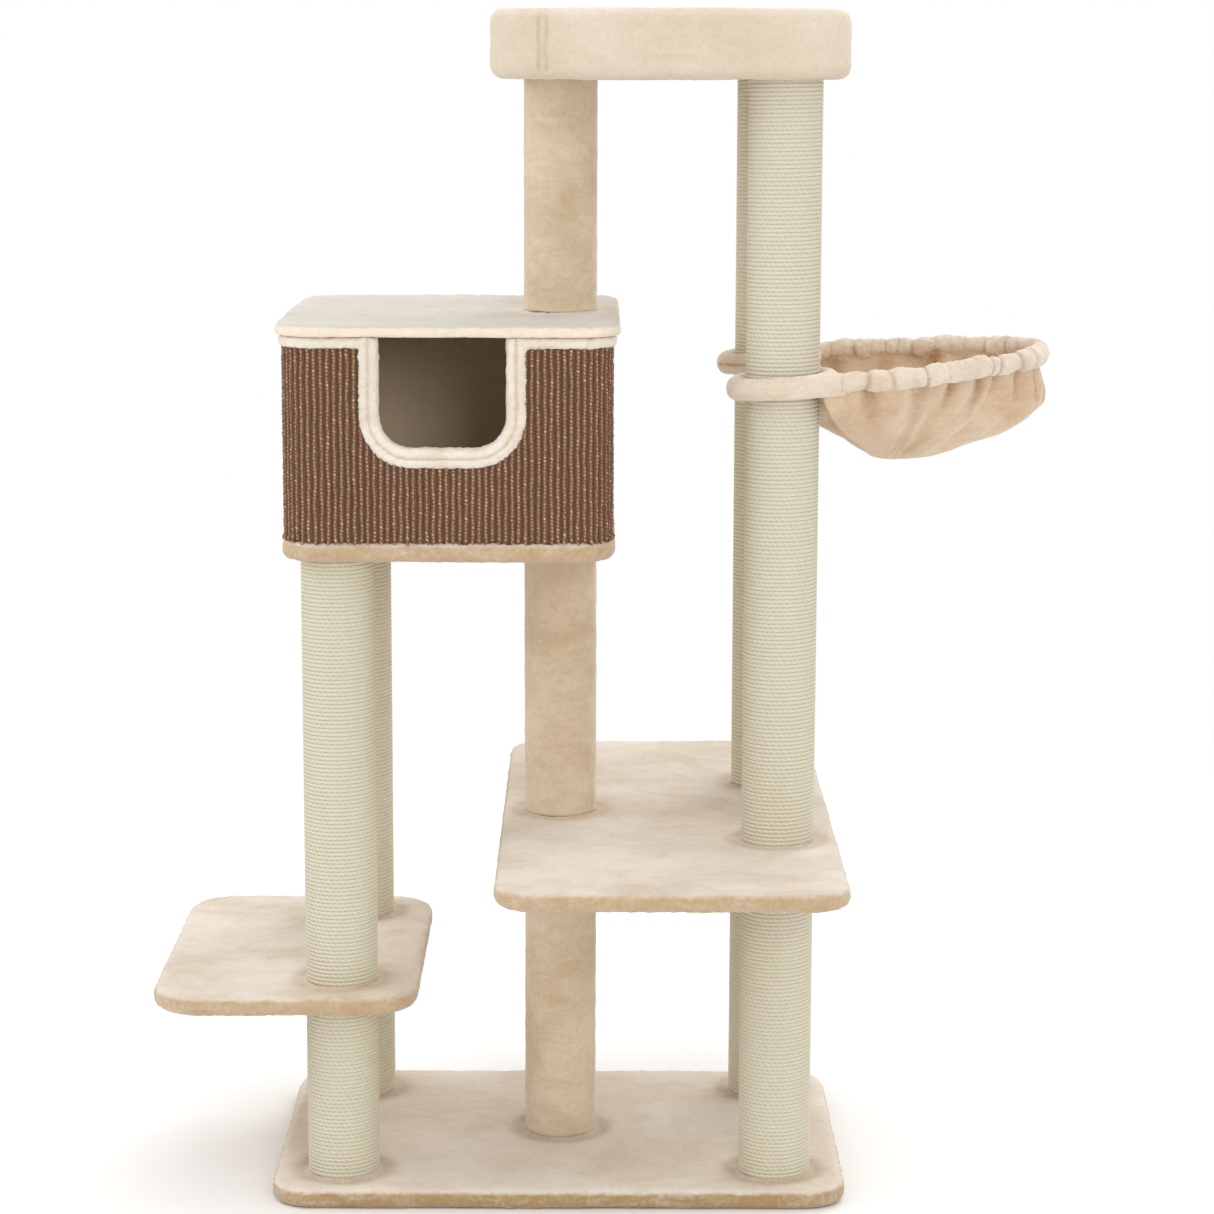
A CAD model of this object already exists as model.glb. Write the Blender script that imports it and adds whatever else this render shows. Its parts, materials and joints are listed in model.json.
# %% [markdown]
# # A plush cat tree
#
# The real object is a shelf of padded boards on wound posts, with a small house, a hammock and a bed.
# The structure is already made: it is loaded as a fixed frame of named nodes, and this script
# gives every soft or rough surface its real shape and finish. The size of every piece is read from
# the frame or named beside it, in metres. The small ones that only shape a surface stand in the calls
# that use them.

# %% Load the frame
import json
import math

import bpy
import numpy as np
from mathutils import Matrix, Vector, noise


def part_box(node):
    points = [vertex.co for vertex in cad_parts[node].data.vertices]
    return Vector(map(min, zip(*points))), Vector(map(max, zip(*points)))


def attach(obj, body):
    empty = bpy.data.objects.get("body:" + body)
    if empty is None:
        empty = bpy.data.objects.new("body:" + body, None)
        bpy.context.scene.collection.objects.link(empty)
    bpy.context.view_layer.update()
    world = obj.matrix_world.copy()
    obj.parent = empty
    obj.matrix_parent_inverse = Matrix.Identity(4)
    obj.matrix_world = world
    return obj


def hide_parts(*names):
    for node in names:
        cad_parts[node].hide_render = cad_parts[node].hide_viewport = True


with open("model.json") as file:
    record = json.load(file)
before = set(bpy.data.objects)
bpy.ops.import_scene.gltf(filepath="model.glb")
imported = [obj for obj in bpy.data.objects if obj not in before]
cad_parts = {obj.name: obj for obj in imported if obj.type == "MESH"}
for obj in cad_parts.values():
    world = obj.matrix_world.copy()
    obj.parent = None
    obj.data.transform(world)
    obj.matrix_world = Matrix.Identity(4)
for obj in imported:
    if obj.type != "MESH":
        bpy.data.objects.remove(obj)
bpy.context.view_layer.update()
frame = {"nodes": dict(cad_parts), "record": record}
scene = bpy.context.scene

# %% [markdown]
# ## Camera, floor and light
#
# A tall object is best seen from far away with a long lens, so that its posts stay upright. The
# camera stands level with the top bed and looks slightly down. The background is one pale floor
# under a white sky, and five large area lamps give the soft shadows of a photo studio.

# %% Camera
CAMERA_AT = Vector((-0.009, -5.066, 1.762))
CAMERA_LENS = 96.8
LOOK_DOWN, LOOK_RIGHT, ROLL = math.radians(9.82), math.radians(0.12), math.radians(-0.15)

camera_data = bpy.data.cameras.new("camera")
camera_data.lens = CAMERA_LENS
camera_data.clip_end = 100
camera = bpy.data.objects.new("camera", camera_data)
camera.location = CAMERA_AT
camera.rotation_euler = (math.pi / 2 - LOOK_DOWN, ROLL, -LOOK_RIGHT)
scene.collection.objects.link(camera)
scene.camera = camera
scene.view_settings.view_transform = "Standard"

# %% Floor, sky and lamps
def lamp(name, place, target, size, power):
    """A square area lamp that points at a target."""
    data = bpy.data.lights.new(name, "AREA")
    data.size, data.energy = size, power
    made = bpy.data.objects.new(name, data)
    made.location = place
    made.rotation_euler = (Vector(target) - Vector(place)).to_track_quat("-Z", "Y").to_euler()
    made.visible_camera = False
    scene.collection.objects.link(made)


SKY_SEEN = 1.0
SKY_LIGHT = 0.96

world = bpy.data.worlds.new("sky")
scene.world = world
world.use_nodes = True
sky = world.node_tree.nodes["Background"]
sky.inputs["Color"].default_value = (1, 1, 1, 1)
ray = world.node_tree.nodes.new("ShaderNodeLightPath")
level = world.node_tree.nodes.new("ShaderNodeMapRange")
level.inputs["To Min"].default_value = SKY_LIGHT
level.inputs["To Max"].default_value = SKY_SEEN
world.node_tree.links.new(ray.outputs["Is Camera Ray"], level.inputs["Value"])
world.node_tree.links.new(level.outputs["Result"], sky.inputs["Strength"])
lamp("key", (1.1, -5.6, 2.45), (-0.2, 0, 1.4), 1.3, 54)
lamp("side", (-3.4, -0.4, 2.7), (0, 0, 1.2), 2.0, 24)
lamp("high", (0.4, -6.5, 9.0), (0, -0.1, 0.2), 4.0, 60)
lamp("top", (0.2, -0.4, 9.0), (0, 0, 1.0), 5.0, 60)
lamp("back", (1.8, 3.2, 3.6), (0, 0, 0.4), 2.5, 66)


# %% Floor
def make_floor():
    """A pale floor that fades into the white sky with distance, so that no horizon shows."""
    bpy.ops.object.select_all(action="DESELECT")
    bpy.ops.mesh.primitive_circle_add(vertices=96, radius=9, fill_type="NGON")
    floor = bpy.context.object
    floor.name = floor.data.name = "floor"
    material = bpy.data.materials.new("pale_floor")
    material.use_nodes = True
    nodes, links = material.node_tree.nodes, material.node_tree.links
    shader = nodes["Principled BSDF"]
    shader.inputs["Base Color"].default_value = (0.93, 0.93, 0.93, 1)
    shader.inputs["Roughness"].default_value = 0.7
    shader.inputs["Specular IOR Level"].default_value = 0.1
    place = nodes.new("ShaderNodeTexCoord")
    far = nodes.new("ShaderNodeVectorMath")
    far.operation = "LENGTH"
    fade = nodes.new("ShaderNodeMapRange")
    fade.interpolation_type = "SMOOTHSTEP"
    fade.inputs["From Min"].default_value = 0.9
    fade.inputs["From Max"].default_value = 3.4
    fade.inputs["To Min"].default_value = 1
    fade.inputs["To Max"].default_value = 0
    links.new(place.outputs["Object"], far.inputs[0])
    links.new(far.outputs["Value"], fade.inputs["Value"])
    links.new(fade.outputs["Result"], shader.inputs["Alpha"])
    floor.data.materials.append(material)


make_floor()

# %% [markdown]
# ## Tools for modelling by hand
#
# These helpers do what a person does with the mouse: select one thing, pick edges or faces by where
# they are, bevel them, and apply a modifier. An operator acts on all that is selected, so each helper
# starts from an empty selection.

# %% Selecting and finishing
MM = 0.001


def place_new():
    """Empties the selection before a primitive is added."""
    if bpy.context.object and bpy.context.object.mode != "OBJECT":
        bpy.ops.object.mode_set(mode="OBJECT")
    bpy.ops.object.select_all(action="DESELECT")


def only(obj):
    """Selects one object and makes it active."""
    place_new()
    obj.select_set(True)
    bpy.context.view_layer.objects.active = obj


def smooth(obj):
    """Shades the whole piece smooth."""
    only(obj)
    bpy.ops.object.shade_smooth()


def named(name):
    """Names the primitive that was just added and puts its place into its mesh."""
    obj = bpy.context.object
    obj.name = obj.data.name = name
    only(obj)
    bpy.ops.object.transform_apply(location=True, rotation=True, scale=True)
    return obj


def shifted(obj, by):
    """Moves a piece and puts its new place into its mesh."""
    only(obj)
    bpy.ops.transform.translate(value=by)
    bpy.ops.object.transform_apply(location=True, rotation=False, scale=False)


def choose(obj, kind, test):
    """Goes into edit mode with only the vertices, edges or faces that pass the test selected."""
    only(obj)
    bpy.ops.object.mode_set(mode="EDIT")
    bpy.ops.mesh.select_mode(type=kind)
    bpy.ops.mesh.select_all(action="DESELECT")
    bpy.ops.object.mode_set(mode="OBJECT")
    mesh = obj.data
    if kind == "EDGE":
        for edge in mesh.edges:
            edge.select = test(*(mesh.vertices[i].co for i in edge.vertices))
    elif kind == "FACE":
        for face in mesh.polygons:
            face.select = test(face.center, face.normal)
    else:
        for vertex in mesh.vertices:
            vertex.select = test(vertex.co)
    bpy.ops.object.mode_set(mode="EDIT")


def back_to_object():
    bpy.ops.object.mode_set(mode="OBJECT")


def merge_close(obj, distance):
    """Merges the points that lie closer together than a distance."""
    choose(obj, "VERT", lambda point: True)
    bpy.ops.mesh.remove_doubles(threshold=distance)
    back_to_object()


def face_outwards(obj):
    """Turns every face of a closed shell outwards."""
    choose(obj, "FACE", lambda middle, normal: True)
    bpy.ops.mesh.normals_make_consistent(inside=False)
    back_to_object()


def apply_modifier(obj, kind, **settings):
    """Adds a modifier, sets it and applies it."""
    only(obj)
    modifier = obj.modifiers.new(kind.title(), kind)
    for key, value in settings.items():
        setattr(modifier, key, value)
    bpy.ops.object.modifier_apply(modifier=modifier.name)


def block(name, low, high):
    place_new()
    bpy.ops.mesh.primitive_cube_add(size=1, location=(low + high) / 2, scale=high - low)
    return named(name)


def round_edges(obj, radius, segments, test):
    """Bevels the edges that pass the test."""
    choose(obj, "EDGE", test)
    bpy.ops.mesh.bevel(offset=radius, segments=segments, affect="EDGES")
    back_to_object()


def round_uprights(obj, radius, segments=10):
    """Rounds the four upright edges of a block."""
    round_edges(obj, radius, segments, lambda a, b: abs(a.z - b.z) > 0.99 * (a - b).length)


def round_level(obj, z, radius):
    """Rounds the edges that lie at one height."""
    round_edges(obj, radius, 6, lambda a, b: abs(a.z - z) < 1e-5 and abs(b.z - z) < 1e-5)


def points_of(obj):
    points = np.empty(len(obj.data.vertices) * 3)
    obj.data.vertices.foreach_get("co", points)
    return points.reshape(-1, 3)


def put_points(obj, points):
    obj.data.vertices.foreach_set("co", np.asarray(points, float).ravel())
    obj.data.update()


def part_hairs(obj, share):
    """Notes for each point how far its hairs part and show their roots; the larger note stays."""
    layer = obj.data.attributes.get("parted") or obj.data.attributes.new("parted", "FLOAT", "POINT")
    values = np.empty(len(obj.data.vertices))
    layer.data.foreach_get("value", values)
    layer.data.foreach_set("value", np.maximum(values, share))


def joined(name, parts):
    """Joins several objects into one."""
    place_new()
    for part in parts:
        part.select_set(True)
    bpy.context.view_layer.objects.active = parts[0]
    bpy.ops.object.join()
    parts[0].name = parts[0].data.name = name
    return parts[0]


# %% [markdown]
# ## Making cloth look thick and soft
#
# Plush is foam under a short, dense pile. A voxel remesh turns a rounded block into even small
# faces, and layers of clouds then push them in and out: broad ones for the foam, small ones for
# tufts that lie together, and fine ones for the ends of the hairs along the outline.

# %% Pile
PILE_VOXEL = 4 * MM
FINE_VOXEL = 3.2 * MM


def push_clouds(obj, *layers):
    """Pushes a surface in and out by clouds; each layer is a size and a strength in millimetres."""
    for size, strength in layers:
        clouds = bpy.data.textures.new(f"{obj.name}_clouds_{size}", "CLOUDS")
        clouds.noise_scale = size * MM
        clouds.noise_depth = 1
        apply_modifier(
            obj, "DISPLACE", texture=clouds, texture_coords="LOCAL", strength=strength * MM, mid_level=0.5
        )


def remeshed(obj, voxel, iterations):
    """Turns a shape into even small faces and softens it."""
    apply_modifier(obj, "REMESH", mode="VOXEL", voxel_size=voxel)
    apply_modifier(obj, "SMOOTH", iterations=iterations, factor=0.5)


# %% [markdown]
# ## Finishes that several materials share
#
# Each effect that more than one material needs is a node group, built once with named inputs:
# a brushed pile, whose patches are lighter or darker by the way the hairs lie, and a plant fibre, whose
# strands are long and thin.

# %% Node helpers
NUMBER, COLOUR, VECTOR = "NodeSocketFloat", "NodeSocketColor", "NodeSocketVector"


def group(name, **sockets):
    """A new shader node group, whose inputs and outputs are given as name: kind."""
    made = bpy.data.node_groups.new(name, "ShaderNodeTree")
    for in_out, kinds in sockets.items():
        for socket, kind in kinds.items():
            made.interface.new_socket(name=socket, in_out=in_out, socket_type=kind)
    return made, made.nodes.new("NodeGroupInput").outputs, made.nodes.new("NodeGroupOutput").inputs


def node(tree, kind, links=(), **settings):
    """Adds a node, sets its properties, and links (input name or number, socket or plain value)."""
    made = tree.nodes.new(kind)
    for key, value in settings.items():
        setattr(made, key, value)
    for key, value in links:
        if isinstance(value, bpy.types.NodeSocket):
            tree.links.new(value, made.inputs[key])
        else:
            made.inputs[key].default_value = value
    return made


def maths(tree, operation, first, second=None, third=None):
    links = [(i, v) for i, v in enumerate((first, second, third)) if v is not None]
    return node(tree, "ShaderNodeMath", links, operation=operation).outputs[0]


def product(tree, first, second):
    return maths(tree, "MULTIPLY", first, second)


def clamped(tree, value):
    return node(tree, "ShaderNodeClamp", [("Value", value)]).outputs[0]


def mixed(tree, share, first, second):
    """A colour between two others."""
    links = [(0, share), (6, first), (7, second)]
    return node(tree, "ShaderNodeMix", links, data_type="RGBA").outputs[2]


def noise_at(tree, vector, scale, detail=2, rough=0.5, distortion=0.0):
    names = ("Vector", "Scale", "Detail", "Roughness", "Distortion")
    links = zip(names, (vector, scale, detail, rough, distortion))
    return node(tree, "ShaderNodeTexNoise", links).outputs["Fac"]


def mapped(tree, vector, **settings):
    """A place that is stretched by Scale or turned by Rotation."""
    return node(tree, "ShaderNodeMapping", [("Vector", vector), *settings.items()]).outputs[0]


def stepped(tree, value, low, high):
    """A soft step from 0 at low to 1 at high."""
    links = [("Value", value), ("From Min", low), ("From Max", high)]
    made = node(tree, "ShaderNodeMapRange", links, interpolation_type="SMOOTHSTEP")
    return made.outputs["Result"]


# %% The brushed pile group
def make_pile_group():
    tree, given, out = group(
        "brushed pile",
        INPUT={
            "Vector": VECTOR, "Light": COLOUR, "Dark": COLOUR, "Root": COLOUR, "Parted": NUMBER,
            "Patch Scale": NUMBER, "Patch Strength": NUMBER,
        },
        OUTPUT={"Color": COLOUR, "Roughness": NUMBER, "Height": NUMBER},
    )
    at, scale = given["Vector"], given["Patch Scale"]
    broad = noise_at(tree, at, scale, 2, 0.5, 0.5)
    streaked = mapped(tree, at, Scale=(0.55, 0.8, 1.3))
    strokes = noise_at(tree, streaked, product(tree, scale, 5), 3, 0.6, 1.2)
    tufts = noise_at(tree, at, 150, 3, 0.65, 0.4)
    hairs = noise_at(tree, at, 900, 2, 0.7)
    broad_patch = product(tree, stepped(tree, broad, 0.34, 0.68), 0.7)
    patch = maths(tree, "ADD", broad_patch, product(tree, stepped(tree, strokes, 0.34, 0.7), 0.4))
    lying = product(tree, patch, given["Patch Strength"])
    depth = product(tree, stepped(tree, tufts, 0.35, 0.7), 0.2)
    fleck = maths(tree, "SUBTRACT", product(tree, hairs, 0.3), 0.15)
    share = maths(tree, "ADD", maths(tree, "ADD", lying, depth), fleck)
    brushed = mixed(tree, clamped(tree, share), given["Light"], given["Dark"])
    uneven = maths(tree, "MULTIPLY_ADD", maths(tree, "ADD", tufts, strokes), 0.9, 0.1)
    shown = clamped(tree, product(tree, uneven, given["Parted"]))
    tree.links.new(mixed(tree, shown, brushed, given["Root"]), out["Color"])
    tree.links.new(maths(tree, "MULTIPLY_ADD", hairs, 0.12, 0.86), out["Roughness"])
    height = maths(tree, "ADD", product(tree, tufts, 0.7), product(tree, hairs, 0.3))
    tree.links.new(height, out["Height"])
    return tree


# %% The plant fibre group
def make_fibre_group():
    tree, given, out = group(
        "plant fibre",
        INPUT={
            "Vector": VECTOR, "Light": COLOUR, "Dark": COLOUR, "Strand Stretch": VECTOR, "Fleck": NUMBER,
        },
        OUTPUT={"Color": COLOUR, "Height": NUMBER},
    )
    links = [(0, given["Vector"]), (1, given["Strand Stretch"])]
    stretched = node(tree, "ShaderNodeVectorMath", links, operation="MULTIPLY").outputs[0]
    strands = noise_at(tree, stretched, 1.0, 4, 0.7, 0.3)
    dust = product(tree, noise_at(tree, given["Vector"], 260, 3, 0.7), given["Fleck"])
    share = maths(tree, "ADD", product(tree, stepped(tree, strands, 0.3, 0.72), 0.75), dust)
    tree.links.new(mixed(tree, clamped(tree, share), given["Light"], given["Dark"]), out["Color"])
    tree.links.new(strands, out["Height"])
    return tree


pile_group = make_pile_group()
fibre_group = make_fibre_group()

# %% Materials from the groups
def linear(red, green, blue):
    """A colour as seen on a screen, 0 to 255, made into the plain light values that a shader takes."""
    shares = (v / 255 for v in (red, green, blue))
    return (*((v / 12.92 if v <= 0.04045 else ((v + 0.055) / 1.055) ** 2.4) for v in shares), 1)


def new_material(name):
    made = bpy.data.materials.new(name)
    made.use_nodes = True
    return made, made.node_tree, made.node_tree.nodes["Principled BSDF"]


def use_group(tree, which, **given):
    """Places a node group in a material; an underscore in an input's name stands for a space."""
    links = [(name.replace("_", " "), value) for name, value in given.items()]
    return node(tree, "ShaderNodeGroup", links, node_tree=which).outputs


def finish(tree, shader, colour, roughness, specular, height, strength, distance):
    """Gives a shader its varying colour, its roughness, its dull shine and its bumps."""
    tree.links.new(colour, shader.inputs["Base Color"])
    if isinstance(roughness, bpy.types.NodeSocket):
        tree.links.new(roughness, shader.inputs["Roughness"])
    else:
        shader.inputs["Roughness"].default_value = roughness
    shader.inputs["Specular IOR Level"].default_value = specular
    bump = node(tree, "ShaderNodeBump", [("Height", height), ("Strength", strength), ("Distance", distance)])
    tree.links.new(bump.outputs["Normal"], shader.inputs["Normal"])


def plush_material(name, light, dark, root, patch_scale, patch_strength, sheen, sides):
    """Brushed pile; the hairs part by the attribute "parted", and by a share on all that faces sideways."""
    made, tree, shader = new_material(name)
    place = tree.nodes.new("ShaderNodeTexCoord")
    facing = node(tree, "ShaderNodeSeparateXYZ", [("Vector", place.outputs["Normal"])]).outputs["Z"]
    pressed = node(tree, "ShaderNodeAttribute", attribute_name="parted").outputs["Fac"]
    pile = use_group(
        tree, pile_group, Vector=place.outputs["Object"],
        Light=linear(*light), Dark=linear(*dark), Root=linear(*root),
        Parted=maths(tree, "MULTIPLY_ADD", stepped(tree, facing, 0.85, 0.25), sides, pressed),
        Patch_Scale=patch_scale, Patch_Strength=patch_strength,
    )
    shader.inputs["Sheen Weight"].default_value = sheen
    shader.inputs["Sheen Roughness"].default_value = 0.5
    finish(tree, shader, pile["Color"], pile["Roughness"], 0.15, pile["Height"], 0.45, 1.6 * MM)
    return made


# Each plush: its light, dark and root colours, the scale and strength of its patches, its sheen, and
# how far the hairs part on its sides.
PLUSHES = {
    "cream_plush": ((220, 210, 197), (195, 176, 153), (180, 150, 110), 5.0, 0.75, 0.35, 0.75),
    "base_plush": ((229, 220, 208), (204, 188, 168), (166, 136, 96), 5.0, 0.7, 0.35, 0.9),
    "lid_plush": ((204, 199, 190), (190, 180, 166), (236, 221, 198), 5.0, 0.6, 0.25, 0.8),
    "even_plush": ((222, 210, 193), (203, 184, 160), (180, 150, 110), 4.0, 0.45, 0.3, 0.14),
    "sand_plush": ((220, 204, 180), (189, 164, 132), (160, 128, 90), 7.0, 0.65, 0.5, 0.0),
    "warm_plush": ((215, 193, 165), (189, 154, 118), (146, 100, 62), 9.0, 0.6, 0.4, 0.0),
    "rim_plush": ((223, 210, 193), (199, 177, 151), (140, 100, 68), 11.0, 0.6, 0.5, 0.0),
    "trim_plush": ((233, 226, 213), (212, 197, 174), (182, 154, 118), 14.0, 0.6, 0.6, 0.0),
}
finishes = {name: plush_material(name, *values) for name, values in PLUSHES.items()}

# %% [markdown]
# Sisal rope is three plies laid round each other, so its surface shows slanting strands, and it is
# darker where two turns touch. Its UV map runs along the rope in metres and across it from 0 to 1, so the
# same nodes serve every post. The house's sisal carpet has the same fibre, dyed brown, with a
# golden thread showing here and there.

# %% Sisal materials
ROPE_PITCH = 6.2 * MM
STRAND_LAY = 9 * MM
STITCH_SLANT = 1.6


def uv_parts(tree, layer):
    uv = node(tree, "ShaderNodeUVMap", uv_map=layer).outputs["UV"]
    return node(tree, "ShaderNodeSeparateXYZ", [("Vector", uv)]).outputs[:2]


def flat_vector(tree, x, y):
    return node(tree, "ShaderNodeCombineXYZ", [("X", x), ("Y", y)]).outputs[0]


def make_rope_material():
    made, tree, shader = new_material("sisal_rope")
    along, across = uv_parts(tree, "rope")
    lay = maths(tree, "MULTIPLY_ADD", along, 1 / STRAND_LAY, across)
    strand = maths(tree, "SINE", product(tree, lay, 2 * math.pi))
    edge = maths(tree, "ABSOLUTE", maths(tree, "SUBTRACT", across, 0.5))
    flat = flat_vector(tree, along, product(tree, across, ROPE_PITCH))
    slanted = mapped(tree, flat, Rotation=(0, 0, math.radians(32)))
    fibre = use_group(
        tree, fibre_group, Vector=slanted, Light=linear(229, 225, 208), Dark=linear(200, 191, 166),
        Strand_Stretch=(190, 1900, 1), Fleck=0.25,
    )
    between = stepped(tree, strand, 0.3, -1.0)
    groove = stepped(tree, edge, 0.34, 0.5)
    dashes = product(tree, groove, maths(tree, "MULTIPLY_ADD", between, 0.75, 0.25))
    shade = maths(tree, "MAXIMUM", dashes, product(tree, between, 0.2))
    tone = mixed(tree, shade, fibre["Color"], linear(166, 152, 116))
    height = maths(tree, "MULTIPLY_ADD", strand, 0.35, fibre["Height"])
    finish(tree, shader, tone, 0.85, 0.2, height, 0.6, 0.9 * MM)
    return made


def make_carpet_material():
    made, tree, shader = new_material("sisal_carpet")
    rib_at, knot_at = uv_parts(tree, "rib")
    rib = maths(tree, "FLOOR", rib_at)
    sideways = maths(tree, "SUBTRACT", maths(tree, "SUBTRACT", rib_at, rib), 0.5)
    across = maths(tree, "ABSOLUTE", sideways)
    stagger = maths(tree, "ADD", knot_at, rib)
    turned = maths(tree, "MULTIPLY_ADD", sideways, STITCH_SLANT, stagger)
    wave = maths(tree, "COSINE", product(tree, turned, math.pi))
    flat = flat_vector(tree, rib_at, knot_at)
    fibre = use_group(
        tree, fibre_group, Vector=flat, Light=linear(136, 99, 75), Dark=linear(50, 30, 20),
        Strand_Stretch=(6, 1.7, 1), Fleck=0.2,
    )
    long_way = mapped(tree, flat, Scale=(2.0, 0.8, 1))
    uneven = stepped(tree, noise_at(tree, long_way, 1, 2, 0.7), 0.3, 0.7)
    ridge = stepped(tree, across, 0.24, 0.05)
    knot = maths(tree, "MULTIPLY_ADD", wave, -0.34, 0.5)
    strength = product(tree, knot, maths(tree, "MULTIPLY_ADD", uneven, 1.6, 0.15))
    lit = clamped(tree, product(tree, ridge, strength))
    dyed = node(tree, "ShaderNodeTexWhiteNoise", [("W", rib)], noise_dimensions="1D").outputs["Value"]
    ridge_tone = mixed(tree, dyed, linear(190, 150, 124), linear(196, 164, 122))
    tone = mixed(tree, lit, fibre["Color"], ridge_tone)
    groove = product(tree, stepped(tree, across, 0.34, 0.5), 0.45)
    tone = mixed(tree, groove, tone, linear(50, 30, 20))
    stitch = flat_vector(tree, rib, maths(tree, "FLOOR", product(tree, stagger, 0.5)))
    golden = node(tree, "ShaderNodeTexWhiteNoise", [("Vector", stitch)]).outputs["Value"]
    spark = product(tree, ridge, stepped(tree, wave, 0.2, -0.7))
    spark = product(tree, spark, stepped(tree, golden, 0.8, 1.0))
    tone = mixed(tree, product(tree, spark, 0.8), tone, linear(236, 196, 150))
    finish(tree, shader, tone, 0.8, 0.25, fibre["Height"], 0.7, 1.2 * MM)
    return made


finishes["sisal_rope"] = make_rope_material()
finishes["sisal_carpet"] = make_carpet_material()

# %% [markdown]
# The parts that a buyer never sees still get their real stuff: pressed wood chips, spiral-wound
# cardboard and zinc-plated steel. The lining of the house is a smooth pale felt.

# %% Plain materials
def fibre_material(name, light, dark, stretch, roughness, bump=0.4 * MM):
    made, tree, shader = new_material(name)
    fibre = use_group(
        tree, fibre_group, Vector=tree.nodes.new("ShaderNodeTexCoord").outputs["Object"],
        Light=linear(*light), Dark=linear(*dark), Strand_Stretch=stretch, Fleck=0.4,
    )
    finish(tree, shader, fibre["Color"], roughness, 0.5, fibre["Height"], 0.4, bump)
    return made


def make_steel():
    made, tree, shader = new_material("zinc_steel")
    crystals = noise_at(tree, tree.nodes.new("ShaderNodeTexCoord").outputs["Object"], 420, 2, 0.6)
    grey = mixed(tree, crystals, linear(206, 208, 210), linear(150, 154, 160))
    tree.links.new(grey, shader.inputs["Base Color"])
    tree.links.new(maths(tree, "MULTIPLY_ADD", crystals, 0.25, 0.25), shader.inputs["Roughness"])
    shader.inputs["Metallic"].default_value = 1.0
    return made


# Each material of plant fibre: its light and dark colours, the stretch of its strands, its
# roughness and, for the felt, its finer bumps.
FIBRES = {
    "chipboard": ((214, 180, 134), (150, 112, 70), (260, 110, 160), 0.8),
    "plywood": ((222, 190, 146), (184, 146, 98), (30, 380, 900), 0.65),
    "cardboard": ((190, 154, 110), (160, 122, 80), (160, 160, 420), 0.9),
    "lining": ((252, 236, 212), (240, 216, 184), (420, 420, 420), 0.95, 0.25 * MM),
}
for name, values in FIBRES.items():
    finishes[name] = fibre_material(name, *values)
finishes["zinc_steel"] = make_steel()
SLOT_FINISH = {
    "lid_plywood": "plywood", "steel": "zinc_steel", "plush": "cream_plush", "post_plush": "sand_plush",
    "hammock_plush": "warm_plush", "house_panel": "lining",
}
for part in frame["record"]["subparts"]:
    slot = part["material_slot"]
    mesh = frame["nodes"][part["node"]].data
    mesh.materials.clear()
    mesh.materials.append(finishes[SLOT_FINISH.get(slot, slot)])


def dressed(piece, body, finish_name, replaced):
    """Shades a finished piece smooth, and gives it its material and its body."""
    smooth(piece)
    piece.data.materials.clear()
    piece.data.materials.append(finishes[finish_name])
    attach(piece, body)
    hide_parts(replaced)
    print(f"{piece.name}: {len(piece.data.polygons)} faces")


# %% [markdown]
# ## Padded boards
#
# A platform is a board with foam round its edge, wrapped in plush. A block with its upright edges
# bevelled to the corner radius, and its rims bevelled to almost half its thickness, gives the outline.
# Where a post stands on it, the pile and foam are pressed down.

# %% The platforms
POST_PRESS = 2.4 * MM
PRESS_REACH = 11 * MM
PRESS_SHADE = 0.5
RIM_ROLL = 0.43


def axis_of(node_name):
    low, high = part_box(node_name)
    return (low + high) / 2, (high.x - low.x) / 2


def press_under(obj, posts, top):
    """Makes a shallow dimple round each post that stands on it; the pile next to the post leans on it."""
    points = points_of(obj)
    upper = points[:, 2] > top - 9 * MM
    for post in posts:
        centre, radius = axis_of(post)
        away = np.hypot(points[:, 0] - centre.x, points[:, 1] - centre.y) - radius
        sunk = POST_PRESS * np.exp(-((away - PRESS_REACH) / PRESS_REACH) ** 2)
        leaning = 1.4 * MM * np.exp(-(away / (3.5 * MM)) ** 2)
        points[upper, 2] -= (sunk - leaning)[upper]
        part_hairs(obj, np.where(upper, PRESS_SHADE * np.exp(-((away - PRESS_REACH) / (16 * MM)) ** 2), 0))
    put_points(obj, points)


def padded_board(level, corner, posts, finish_name="cream_plush", voxel=FINE_VOXEL, foam=2.6, under=RIM_ROLL):
    cover = f"{level}_cover"
    low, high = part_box(cover)
    slab = block(f"{level}_plush", low, high)
    round_uprights(slab, corner)
    round_level(slab, high.z, RIM_ROLL * (high.z - low.z))
    round_level(slab, low.z, under * (high.z - low.z))
    remeshed(slab, voxel, 3)
    push_clouds(slab, (70, foam), (14, 2.0), (4.5, 2.2))
    press_under(slab, posts, high.z)
    points = points_of(slab)
    points[:, 2] = np.maximum(points[:, 2], low.z + 0.2 * MM)
    put_points(slab, points)
    dressed(slab, "root", finish_name, cover)


ROPE_POSTS = ["front_left", "rear_left", "front_right", "rear_right"]
ON_BASE = [f"post_{post}_lower_rope" for post in ROPE_POSTS] + ["post_centre_lower_plush"]
ON_LOW = ["post_front_left_upper_rope", "post_rear_left_upper_rope"]
ON_MIDDLE = ["post_front_right_upper_rope", "post_rear_right_upper_rope", "post_centre_middle_plush"]
padded_board("base", 60 * MM, ON_BASE, "base_plush", PILE_VOXEL)
padded_board("low_platform", 80 * MM, ON_LOW)
padded_board("middle_platform", 60 * MM, ON_MIDDLE, voxel=PILE_VOXEL)
padded_board("house_floor", 60 * MM, [])
padded_board("house_lid", 67 * MM, ["post_centre_upper_plush"], "lid_plush", foam=4.5, under=0.16)

# %% [markdown]
# ## Posts
#
# A scratching post is a tube with rope wound round it in one long helix. Half a circle, turned
# by the Screw modifier with a rise of one rope's width for each turn, gives exactly that. The helix is made
# one turn too long at each end and cut level with the boards, as the rope's ends are tucked in.

# %% Rope-wound posts
ROPE_STEPS = 48
ROPE_BULGE = 0.62


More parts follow.
